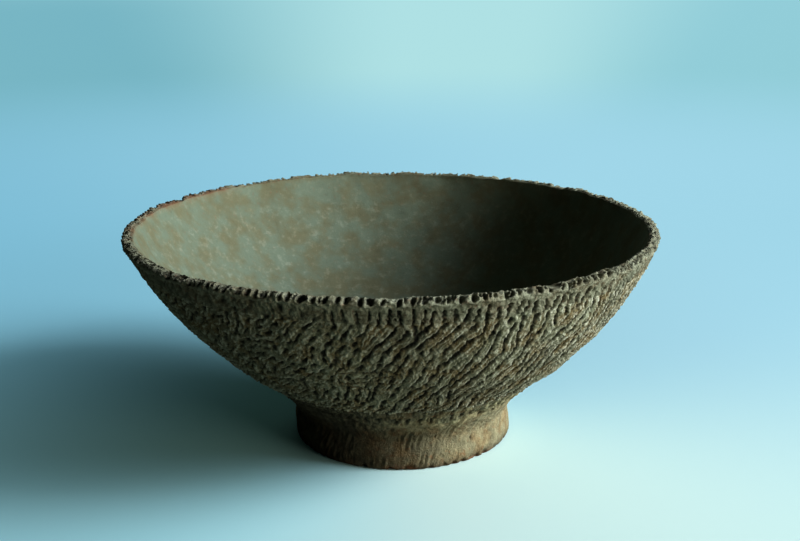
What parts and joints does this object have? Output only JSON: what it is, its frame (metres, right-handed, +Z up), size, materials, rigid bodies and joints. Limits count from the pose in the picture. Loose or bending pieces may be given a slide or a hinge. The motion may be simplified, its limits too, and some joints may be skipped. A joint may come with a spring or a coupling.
{
  "type": "pottery bowl",
  "caption": "Wide hand-built earthenware bowl with a cord-marked wall and a notched flat lip, standing on a ring foot.",
  "frame": {"origin": "on the ground under the middle of the mouth; the foot stands 4.8 mm to the +X side of it", "axes": "+Z up through the mouth, +X to the right and +Y to the back as the picture looks at the bowl"},
  "size_m": [0.26, 0.26, 0.1091],
  "materials": {
    "cord_marked_earthenware": "unglazed, beaten with a cord-wrapped paddle, matt",
    "notched_lip_earthenware": "unglazed, pressed and wiped, matt",
    "smoothed_earthenware": "unglazed, smoothed by a wet hand, matt",
    "wiped_foot_earthenware": "unglazed, wiped upwards, matt with worn edges"
  },
  "bodies": {
    "root": {"foot_ring": "wiped_foot_earthenware", "outer_foot_fillet": "wiped_foot_earthenware", "inner_foot_fillet": "wiped_foot_earthenware", "base_pat": "smoothed_earthenware", "wall_course_1": "cord_marked_earthenware", "wall_course_2": "cord_marked_earthenware", "wall_course_3": "cord_marked_earthenware", "wall_course_4": "cord_marked_earthenware", "rim_strip": "notched_lip_earthenware"}
  },
  "joints": []
}
